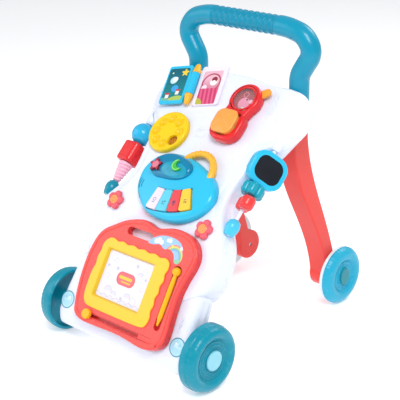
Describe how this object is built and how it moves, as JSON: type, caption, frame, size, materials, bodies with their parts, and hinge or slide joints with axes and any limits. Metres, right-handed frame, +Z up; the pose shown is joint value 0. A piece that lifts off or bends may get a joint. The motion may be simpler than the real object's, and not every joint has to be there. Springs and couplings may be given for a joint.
{
  "type": "baby walker",
  "caption": "Push-along baby walker with a sloping activity panel, drawing board, piano unit, side beads and a handle.",
  "frame": {"origin": "on the floor, under the middle of the walker's length and width", "axes": "+Z up, +Y towards the child who pushes it, -Y the way it rolls forward, +X to its left seen from the child's side"},
  "size_m": [0.31, 0.4295, 0.456],
  "materials": {
    "body_white": "glossy moulded plastic, off-white",
    "base_white": "glossy moulded plastic, off-white",
    "leg_coral": "glossy blow-moulded plastic, coral red",
    "board_coral": "glossy moulded plastic, coral red",
    "bezel_yellow": "satin moulded plastic, yellow",
    "screen": "smooth magnetic drawing screen, lavender white",
    "pen_yellow": "satin moulded plastic, yellow",
    "teal": "glossy moulded plastic, teal",
    "dark_teal": "glossy moulded plastic, dark teal",
    "cyan": "glossy moulded plastic, light blue",
    "pale_cyan": "glossy moulded plastic, pale blue",
    "rim_grey": "satin moulded plastic, pale grey",
    "key_pink": "glossy moulded plastic, pale pink",
    "key_cyan": "glossy moulded plastic, light blue",
    "key_coral": "glossy moulded plastic, coral",
    "key_yellow": "glossy moulded plastic, yellow",
    "moon_green": "translucent-look moulded plastic, green",
    "star_red": "glossy moulded plastic, red",
    "red": "glossy moulded plastic, red",
    "pink": "glossy moulded plastic, pink",
    "flower_pink": "glossy moulded plastic, pink red",
    "leaf_white": "satin moulded plastic with a printed picture",
    "knob_orange": "satin moulded plastic, light orange",
    "lever_orange": "satin moulded plastic, orange with a printed picture",
    "window_clear": "clear plastic window",
    "mirror_glass": "mirror film on plastic",
    "grip_teal": "ribbed soft-feel plastic, teal",
    "label_blue": "printed round label, pale blue",
    "steel": "zinc-plated steel rod",
    "circuit": "circuit board",
    "speaker_black": "loudspeaker, black"
  },
  "bodies": {
    "frame": {"front_shell": "body_white", "base_shell": "base_white", "back_cover": "body_white", "cover_screws": "steel", "leg_left": "leg_coral", "leg_right": "leg_coral", "front_axle": "steel", "rear_axles": "steel", "handle_bar": "teal", "handle_grip": "grip_teal", "round_labels": "label_blue", "flower_badges": "flower_pink", "dial_hub": "pen_yellow", "book_posts": "pen_yellow", "book_leaf": "leaf_white", "peek_housing": "red", "peek_window": "window_clear", "spindle_rods": "body_white", "lower_seat_left": "dark_teal", "lower_seat_right": "pale_cyan", "upper_seats": "body_white"},
    "wheel_front_left": {"front_wheel_left": "teal", "front_cap_left": "pale_cyan"},
    "wheel_front_right": {"front_wheel_right": "teal", "front_cap_right": "pale_cyan"},
    "wheel_rear_left": {"rear_wheel_left": "cyan", "rear_rim_left": "rim_grey", "rear_cap_left": "dark_teal"},
    "wheel_rear_right": {"rear_wheel_right": "cyan", "rear_rim_right": "rim_grey", "rear_cap_right": "dark_teal"},
    "board": {"board_frame": "board_coral", "board_screen": "screen", "board_bezel": "bezel_yellow"},
    "pen": {"drawing_pen": "pen_yellow"},
    "eraser": {"eraser_slider": "pen_yellow"},
    "piano": {"piano_housing": "cyan", "piano_dome": "dark_teal", "piano_back": "cyan", "circuit_board": "circuit", "speaker": "speaker_black", "piano_handle": "pen_yellow"},
    "star": {"star_button": "star_red"},
    "moon": {"moon_button": "moon_green"},
    "key_a": {"key_1": "key_pink"},
    "key_b": {"key_2": "key_cyan"},
    "key_c": {"key_3": "key_coral"},
    "key_d": {"key_4": "key_yellow"},
    "dial": {"phone_dial": "bezel_yellow"},
    "page": {"book_page": "cyan"},
    "lever": {"peek_lever": "lever_orange"},
    "knob": {"peek_knob": "knob_orange"},
    "cone": {"cone_bead": "pink"},
    "block": {"block_bead": "red"},
    "ball": {"ball_bead": "cyan"},
    "bean": {"bean_bead": "red"},
    "flower": {"flower_bead": "teal"},
    "mirror": {"mirror_frame": "cyan", "mirror_glass": "mirror_glass"}
  },
  "joints": [
    {"name": "front_left_roll", "type": "hinge", "parent": "frame", "child": "wheel_front_left", "pos_m": [-0.13, -0.166, 0.047], "axis": [1, 0, 0], "continuous": true},
    {"name": "rear_left_roll", "type": "hinge", "parent": "frame", "child": "wheel_rear_left", "pos_m": [-0.11, 0.168, 0.045], "axis": [1, 0, 0], "continuous": true},
    {"name": "front_right_roll", "type": "hinge", "parent": "frame", "child": "wheel_front_right", "pos_m": [0.13, -0.166, 0.047], "axis": [1, 0, 0], "continuous": true},
    {"name": "rear_right_roll", "type": "hinge", "parent": "frame", "child": "wheel_rear_right", "pos_m": [0.11, 0.168, 0.045], "axis": [1, 0, 0], "continuous": true},
    {"name": "board_lift", "type": "slide", "parent": "frame", "child": "board", "axis": [0, -0.8513, 0.5247], "range_m": [0, 0.06]},
    {"name": "pen_pull", "type": "slide", "parent": "board", "child": "pen", "axis": [0, -0.8513, 0.5247], "range_m": [0, 0.03]},
    {"name": "eraser_slide", "type": "slide", "parent": "board", "child": "eraser", "axis": [1, 0, 0], "range_m": [0, 0.095]},
    {"name": "piano_lift", "type": "slide", "parent": "frame", "child": "piano", "axis": [0, -0.6947, 0.7193], "range_m": [0, 0.05]},
    {"name": "star_press", "type": "slide", "parent": "piano", "child": "star", "axis": [0, -0.6947, 0.7193], "range_m": [-0.0025, 0], "stiffness_N_per_m": 300, "springref_m": 0.0006},
    {"name": "moon_press", "type": "slide", "parent": "piano", "child": "moon", "axis": [0, -0.6947, 0.7193], "range_m": [-0.0025, 0], "stiffness_N_per_m": 300, "springref_m": 0.0006},
    {"name": "key_1_press", "type": "hinge", "parent": "piano", "child": "key_a", "pos_m": [-0.00461, -0.09515, 0.22928], "axis": [0.9999, -0.01, -0.0097], "range_deg": [0, 3], "stiffness_Nm_per_rad": 0.35, "springref_deg": -2.86},
    {"name": "key_2_press", "type": "hinge", "parent": "piano", "child": "key_b", "pos_m": [0.00978, -0.0945, 0.2299], "axis": [0.9903, 0.1001, 0.0967], "range_deg": [0, 3], "stiffness_Nm_per_rad": 0.35, "springref_deg": -2.86},
    {"name": "key_3_press", "type": "hinge", "parent": "piano", "child": "key_c", "pos_m": [0.02387, -0.09227, 0.23206], "axis": [0.9573, 0.2079, 0.2008], "range_deg": [0, 3], "stiffness_Nm_per_rad": 0.35, "springref_deg": -2.86},
    {"name": "key_4_press", "type": "hinge", "parent": "piano", "child": "key_d", "pos_m": [0.03732, -0.08852, 0.23568], "axis": [0.9018, 0.3108, 0.3002], "range_deg": [0, 3], "stiffness_Nm_per_rad": 0.35, "springref_deg": -2.86},
    {"name": "dial_turn", "type": "hinge", "parent": "frame", "child": "dial", "pos_m": [-0.0598, -0.02697, 0.28678], "axis": [0, -0.6947, 0.7193], "continuous": true},
    {"name": "page_turn", "type": "hinge", "parent": "frame", "child": "page", "pos_m": [-0.0645, 0.02921, 0.3452], "axis": [-0.2538, 0.6958, 0.6719], "range_deg": [0, 160]},
    {"name": "lever_swing", "type": "hinge", "parent": "frame", "child": "lever", "pos_m": [0.045, 0.02312, 0.34071], "axis": [0, -0.6947, 0.7193], "range_deg": [-18, 18]},
    {"name": "knob_press", "type": "slide", "parent": "frame", "child": "knob", "axis": [0, -0.6947, 0.7193], "range_m": [-0.004, 0], "stiffness_N_per_m": 200, "springref_m": 0.001},
    {"name": "cone_spin", "type": "hinge", "parent": "frame", "child": "cone", "pos_m": [-0.118, -0.07051, 0.22318], "axis": [0, 0.7193, 0.6947], "continuous": true},
    {"name": "block_spin", "type": "hinge", "parent": "frame", "child": "block", "pos_m": [-0.118, -0.04677, 0.2461], "axis": [0, 0.7193, 0.6947], "continuous": true},
    {"name": "ball_spin", "type": "hinge", "parent": "frame", "child": "ball", "pos_m": [-0.118, -0.0226, 0.26944], "axis": [0, 0.7193, 0.6947], "continuous": true},
    {"name": "bean_spin", "type": "hinge", "parent": "frame", "child": "bean", "pos_m": [0.118, -0.06332, 0.23013], "axis": [0, 0.7193, 0.6947], "continuous": true},
    {"name": "flower_spin", "type": "hinge", "parent": "frame", "child": "flower", "pos_m": [0.118, -0.04821, 0.24472], "axis": [0, 0.7193, 0.6947], "continuous": true},
    {"name": "mirror_swing", "type": "hinge", "parent": "frame", "child": "mirror", "pos_m": [0.118, -0.02332, 0.26875], "axis": [0, 0.7193, 0.6947], "range_deg": [-5, 30]}
  ]
}
